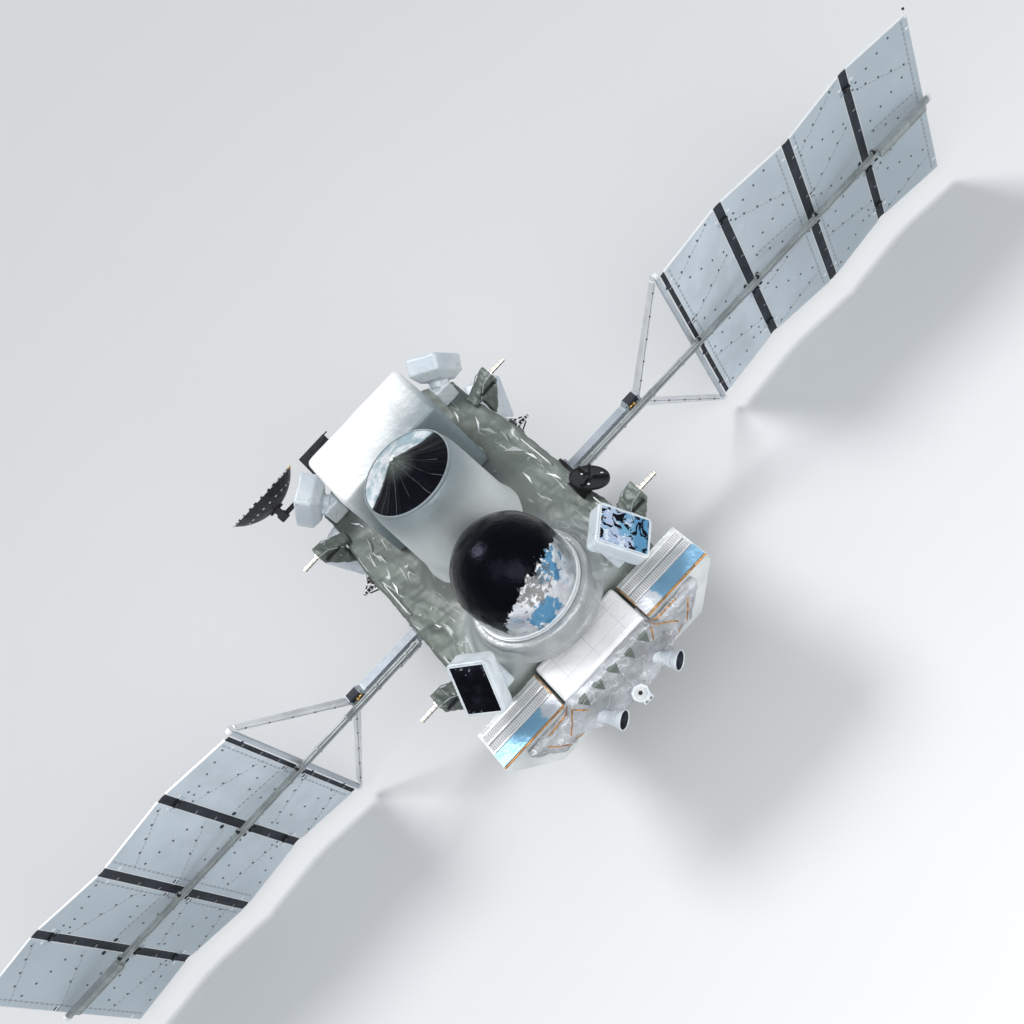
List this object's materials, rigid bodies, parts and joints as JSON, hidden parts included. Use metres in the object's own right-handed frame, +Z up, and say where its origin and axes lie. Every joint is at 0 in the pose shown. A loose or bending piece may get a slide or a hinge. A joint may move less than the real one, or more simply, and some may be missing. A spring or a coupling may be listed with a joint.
{
  "type": "gamma-ray observatory satellite",
  "caption": "Orbiting gamma-ray observatory with telescope domes, corner burst detectors, folding solar wings on rotating booms and a gimballed dish antenna.",
  "frame": {"origin": "midway between the four longeron trunnions, at their height", "axes": "+X aft towards the thrusters, +Y along the right solar wing, +Z up through the telescope caps"},
  "size_m": [8.9947, 21.282, 5.6642],
  "materials": {
    "silver_blanket": "crinkled aluminised blanket",
    "mirror_film": "mirror film",
    "white_blanket": "crinkled white blanket",
    "white_paint": "satin white paint",
    "module_panel": "satin grey-white paint",
    "louvre": "satin",
    "radiator_film": "silvered film that reads blue",
    "trunnion_metal": "machined",
    "dark_metal": "matt black",
    "panel_back": "satin pale blue-grey",
    "black_blanket": "black blanket"
  },
  "bodies": {
    "spacecraft": {"platform": "silver_blanket", "instrument_cover": "silver_blanket", "drum_telescope": "silver_blanket", "drum_cap": "mirror_film", "dome_telescope": "mirror_film", "dome_collar": "white_blanket", "longeron_trunnions": "trunnion_metal", "trunnion_fittings": "silver_blanket", "keel_trunnion": "trunnion_metal", "grapple_fixture": "dark_metal", "grapple_bracket": "dark_metal", "power_module": "module_panel", "data_module": "module_panel", "louvre_panels": "louvre", "radiator_strips": "radiator_film", "aft_box": "white_blanket", "aft_bulkhead": "white_blanket", "orbit_thrusters": "white_blanket", "thruster_pods": "white_blanket", "side_latches": "dark_metal", "array_drives": "dark_metal", "antenna_bracket": "dark_metal", "detector_windows": "mirror_film", "burst_detector_forward_upper_right": "white_paint", "burst_detector_forward_upper_left": "white_paint", "burst_detector_forward_lower_right": "white_paint", "burst_detector_forward_lower_left": "white_paint", "burst_detector_aft_upper_right": "white_paint", "burst_detector_aft_upper_left": "white_paint", "burst_detector_aft_lower_right": "white_paint", "burst_detector_aft_lower_left": "white_paint"},
    "wing_right": {"wing_right_boom": "white_paint", "wing_right_yoke_upper": "white_paint", "wing_right_yoke_lower": "white_paint", "wing_right_crossbar": "white_paint", "wing_right_mast": "white_paint"},
    "wing_right_panel_1_body": {"wing_right_panel_1": "panel_back"},
    "wing_right_panel_2_body": {"wing_right_panel_2": "panel_back"},
    "wing_right_panel_3_body": {"wing_right_panel_3": "panel_back"},
    "wing_right_panel_4_body": {"wing_right_panel_4": "panel_back"},
    "wing_left": {"wing_left_boom": "white_paint", "wing_left_yoke_upper": "white_paint", "wing_left_yoke_lower": "white_paint", "wing_left_crossbar": "white_paint", "wing_left_mast": "white_paint"},
    "wing_left_panel_1_body": {"wing_left_panel_1": "panel_back"},
    "wing_left_panel_2_body": {"wing_left_panel_2": "panel_back"},
    "wing_left_panel_3_body": {"wing_left_panel_3": "panel_back"},
    "wing_left_panel_4_body": {"wing_left_panel_4": "panel_back"},
    "antenna_boom_body": {"antenna_boom": "black_blanket"},
    "antenna_gimbal_body": {"antenna_gimbal": "dark_metal"},
    "antenna_dish_body": {"antenna_dish": "black_blanket", "antenna_feed": "black_blanket"}
  },
  "joints": [
    {"name": "wing_right_drive", "type": "hinge", "parent": "spacecraft", "child": "wing_right", "pos_m": [-0.74, 1.9, -1.57], "axis": [0, 1, 0], "range_deg": [-180, 180]},
    {"name": "wing_right_fold_1", "type": "hinge", "parent": "wing_right", "child": "wing_right_panel_1_body", "pos_m": [-0.69435, 4.9425, -1.57711], "axis": [0.1538, 0, 0.9881], "range_deg": [0, 84]},
    {"name": "wing_right_fold_2", "type": "hinge", "parent": "wing_right_panel_1_body", "child": "wing_right_panel_2_body", "pos_m": [-0.78502, 6.38954, -1.56299], "axis": [-0.1538, 0, -0.9881], "range_deg": [0, 168]},
    {"name": "wing_right_fold_3", "type": "hinge", "parent": "wing_right_panel_2_body", "child": "wing_right_panel_3_body", "pos_m": [-0.69435, 7.83657, -1.57711], "axis": [0.1538, 0, 0.9881], "range_deg": [0, 168]},
    {"name": "wing_right_fold_4", "type": "hinge", "parent": "wing_right_panel_3_body", "child": "wing_right_panel_4_body", "pos_m": [-0.78502, 9.28361, -1.56299], "axis": [-0.1538, 0, -0.9881], "range_deg": [0, 168]},
    {"name": "wing_left_drive", "type": "hinge", "parent": "spacecraft", "child": "wing_left", "pos_m": [-0.74, -1.9, -1.57], "axis": [0, 1, 0], "range_deg": [-180, 180]},
    {"name": "wing_left_fold_1", "type": "hinge", "parent": "wing_left", "child": "wing_left_panel_1_body", "pos_m": [-0.69435, -4.9425, -1.57711], "axis": [-0.1538, 0, -0.9881], "range_deg": [0, 84]},
    {"name": "wing_left_fold_2", "type": "hinge", "parent": "wing_left_panel_1_body", "child": "wing_left_panel_2_body", "pos_m": [-0.78502, -6.38954, -1.56299], "axis": [0.1538, 0, 0.9881], "range_deg": [0, 168]},
    {"name": "wing_left_fold_3", "type": "hinge", "parent": "wing_left_panel_2_body", "child": "wing_left_panel_3_body", "pos_m": [-0.69435, -7.83657, -1.57711], "axis": [-0.1538, 0, -0.9881], "range_deg": [0, 168]},
    {"name": "wing_left_fold_4", "type": "hinge", "parent": "wing_left_panel_3_body", "child": "wing_left_panel_4_body", "pos_m": [-0.78502, -9.28361, -1.56299], "axis": [0.1538, 0, 0.9881], "range_deg": [0, 168]},
    {"name": "antenna_boom_swing", "type": "hinge", "parent": "spacecraft", "child": "antenna_boom_body", "pos_m": [-3.8, -0.72, -0.43], "axis": [1, 0, 0], "range_deg": [0, 180]},
    {"name": "antenna_azimuth", "type": "hinge", "parent": "antenna_boom_body", "child": "antenna_gimbal_body", "pos_m": [-4.13412, -2.23, -0.43797], "axis": [0, 1, 0], "range_deg": [-60, 20]},
    {"name": "antenna_elevation", "type": "hinge", "parent": "antenna_gimbal_body", "child": "antenna_dish_body", "pos_m": [-4.13412, -2.23, -0.43797], "axis": [0.8111, 0, 0.585], "range_deg": [-25, 25]}
  ],
  "couplings": [
    {"joint": "wing_right_fold_2", "follows": "wing_right_fold_1", "ratio": 2},
    {"joint": "wing_right_fold_3", "follows": "wing_right_fold_1", "ratio": 2},
    {"joint": "wing_right_fold_4", "follows": "wing_right_fold_1", "ratio": 2},
    {"joint": "wing_left_fold_2", "follows": "wing_left_fold_1", "ratio": 2},
    {"joint": "wing_left_fold_3", "follows": "wing_left_fold_1", "ratio": 2},
    {"joint": "wing_left_fold_4", "follows": "wing_left_fold_1", "ratio": 2}
  ]
}
